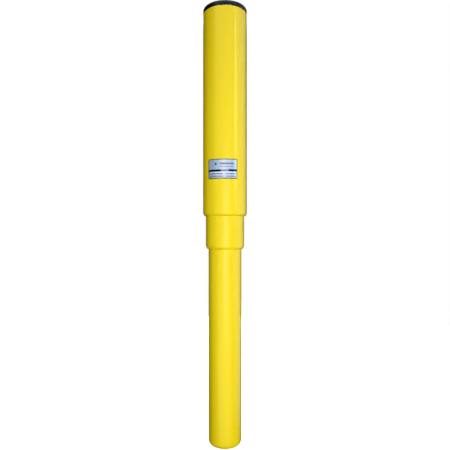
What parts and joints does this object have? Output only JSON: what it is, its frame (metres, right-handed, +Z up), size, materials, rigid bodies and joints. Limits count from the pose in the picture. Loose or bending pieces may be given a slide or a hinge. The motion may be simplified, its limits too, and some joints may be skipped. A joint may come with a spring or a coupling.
{
  "type": "retractable bollard",
  "caption": "Telescopic steel post for the roadside. The wide head and the middle tube slide down over the base tube, lifted by a gas spring and released by a key in the cap.",
  "frame": {"origin": "centre of the flat foot under the base tube", "axes": "+Z up along the post, -Y towards the name plate on the front, +X to the viewer's right"},
  "size_m": [0.1016, 0.1021, 1.003],
  "materials": {
    "yellow_paint": "gloss",
    "black_cap": "satin",
    "label_foil": "satin",
    "zinc_steel": "zinc plated",
    "stainless": "turned",
    "black_steel": "satin",
    "chromed_rod": "polished",
    "brass": "turned",
    "acetal": "matt",
    "rubber": "matt",
    "spring_steel": "oiled"
  },
  "bodies": {
    "base": {"base_tube": "yellow_paint", "base_plug": "zinc_steel", "spring_bracket": "zinc_steel", "bracket_screws": "zinc_steel", "clevis_pin": "stainless", "clevis_clips": "spring_steel", "gas_spring_eye": "zinc_steel", "gas_cylinder": "black_steel", "gas_gland": "brass", "rod_seal": "rubber", "cylinder_steady": "acetal", "base_stop_ring": "zinc_steel", "base_wear_ring": "acetal"},
    "middle": {"middle_tube": "yellow_paint", "middle_wiper": "rubber", "middle_mouth_bush": "acetal", "middle_snap_ring": "spring_steel", "middle_lift_ring": "zinc_steel", "middle_wear_ring": "acetal"},
    "head": {"head_tube": "yellow_paint", "head_wiper": "rubber", "head_mouth_bush": "acetal", "head_snap_ring": "spring_steel", "bulkhead": "zinc_steel", "bulkhead_lower_ring": "spring_steel", "bulkhead_upper_ring": "spring_steel", "buffer_ring": "rubber", "buffer_screws": "zinc_steel", "gas_rod": "chromed_rod", "gas_piston": "brass", "piston_nut": "zinc_steel", "rod_jam_nut": "zinc_steel", "rod_nut": "zinc_steel", "cap_pillars": "zinc_steel", "top_cap": "black_cap", "cap_screws": "stainless", "cap_o_ring": "rubber", "key_stop_dowel": "stainless", "name_plate": "label_foil"},
    "key": {"key_spindle": "stainless", "cam_disc": "brass", "cam_screw": "zinc_steel"},
    "release": {"release_pin": "stainless", "release_spring": "spring_steel"}
  },
  "joints": [
    {"name": "middle_slide", "type": "slide", "parent": "base", "child": "middle", "axis": [0, 0, 1], "range_m": [-0.323, 0], "stiffness_N_per_m": 100, "springref_m": 2.5},
    {"name": "head_slide", "type": "slide", "parent": "middle", "child": "head", "axis": [0, 0, 1], "range_m": [-0.0725, 0], "stiffness_N_per_m": 100, "springref_m": 2.5},
    {"name": "key_turn", "type": "hinge", "parent": "head", "child": "key", "pos_m": [0, 0.012, 0.988], "axis": [0, 0, -1], "range_deg": [0, 90]},
    {"name": "release_slide", "type": "slide", "parent": "head", "child": "release", "axis": [0, 0, 1], "range_m": [-0.0025, 0], "deforming": ["release_spring"]}
  ],
  "couplings": [
    {"joint": "release_slide", "follows": "key_turn", "m_per_rad": -0.0015915}
  ]
}
